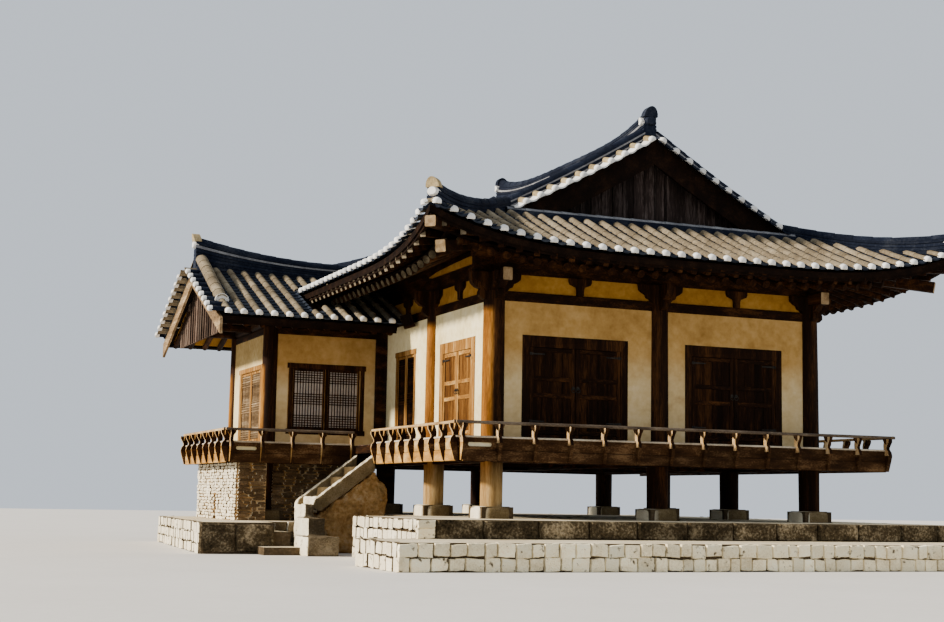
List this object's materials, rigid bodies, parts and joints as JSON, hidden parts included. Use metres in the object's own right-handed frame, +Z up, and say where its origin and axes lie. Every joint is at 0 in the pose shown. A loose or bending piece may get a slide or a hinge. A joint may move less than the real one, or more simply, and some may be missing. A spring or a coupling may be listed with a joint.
{
  "type": "hanok house",
  "caption": "Korean timber house with a tiled hip-and-gable roof, a gabled wing, a raised veranda with railings, a stone stair and a stone plinth",
  "frame": {"origin": "under the centre line of the front left corner post, on the ground", "axes": "+X to the right along the front, +Y from the front to the back, +Z up"},
  "size_m": [11.03, 11.56, 7.2],
  "materials": {
    "stone": "rough granite and mortar",
    "timber": "weathered dark brown",
    "boards": "weathered boards",
    "plaster": "matt ochre earth plaster",
    "tiles": "matt fired clay"
  },
  "bodies": {
    "house": {"main_plinth": "stone", "wing_plinth": "stone", "stair_mass": "stone", "stair_flight": "stone", "stair_parapet_near": "stone", "stair_parapet_far": "stone", "entry_steps": "stone", "fire_wall": "stone", "wing_base_wall": "stone", "front_frame": "timber", "back_frame": "timber", "left_frame": "timber", "right_frame": "timber", "wing_frame": "timber", "main_purlins": "timber", "wing_purlins": "timber", "front_door_1_frame": "timber", "front_door_2_frame": "timber", "side_door_frame": "timber", "side_window": "timber", "wing_front_window": "timber", "wing_side_window": "timber", "front_railing": "timber", "left_railing": "timber", "right_railing": "timber", "wing_front_railing": "timber", "wing_left_railing": "timber", "main_floor": "boards", "wing_floor": "boards", "front_gable": "boards", "back_gable": "boards", "front_bargeboards": "boards", "back_bargeboards": "boards", "wing_gable": "boards", "wing_bargeboards": "boards", "front_wall_1": "plaster", "front_wall_2": "plaster", "left_wall_1": "plaster", "left_wall_2": "plaster", "right_wall_1": "plaster", "right_wall_2": "plaster", "right_wall_3": "plaster", "back_wall_1": "plaster", "back_wall_2": "plaster", "wing_back_wall": "plaster", "wing_front_wall": "plaster", "wing_left_wall": "plaster", "wing_upper_wall": "plaster", "main_upper_wall": "plaster", "main_roof": "tiles", "main_ridges": "tiles", "wing_roof": "tiles", "wing_ridges": "tiles"},
    "front_door_1_left_leaf": {"front_door_1_left_leaf": "boards"},
    "front_door_1_right_leaf": {"front_door_1_right_leaf": "boards"},
    "front_door_2_left_leaf": {"front_door_2_left_leaf": "boards"},
    "front_door_2_right_leaf": {"front_door_2_right_leaf": "boards"},
    "side_door_left_leaf": {"side_door_left_leaf": "boards"},
    "side_door_right_leaf": {"side_door_right_leaf": "boards"}
  },
  "joints": [
    {"name": "front_door_1_left_hinge", "type": "hinge", "parent": "house", "child": "front_door_1_left_leaf", "pos_m": [0.563, -0.082, 2.5], "axis": [0, 0, -1], "range_deg": [0, 95]},
    {"name": "front_door_1_right_hinge", "type": "hinge", "parent": "house", "child": "front_door_1_right_leaf", "pos_m": [2.097, -0.082, 2.5], "axis": [0, 0, 1], "range_deg": [0, 95]},
    {"name": "front_door_2_left_hinge", "type": "hinge", "parent": "house", "child": "front_door_2_left_leaf", "pos_m": [3.353, -0.082, 2.5], "axis": [0, 0, -1], "range_deg": [0, 95]},
    {"name": "front_door_2_right_hinge", "type": "hinge", "parent": "house", "child": "front_door_2_right_leaf", "pos_m": [4.887, -0.082, 2.5], "axis": [0, 0, 1], "range_deg": [0, 95]},
    {"name": "side_door_left_hinge", "type": "hinge", "parent": "house", "child": "side_door_left_leaf", "pos_m": [-0.082, 1.887, 2.5], "axis": [0, 0, -1], "range_deg": [0, 95]},
    {"name": "side_door_right_hinge", "type": "hinge", "parent": "house", "child": "side_door_right_leaf", "pos_m": [-0.082, 0.693, 2.5], "axis": [0, 0, 1], "range_deg": [0, 95]}
  ]
}
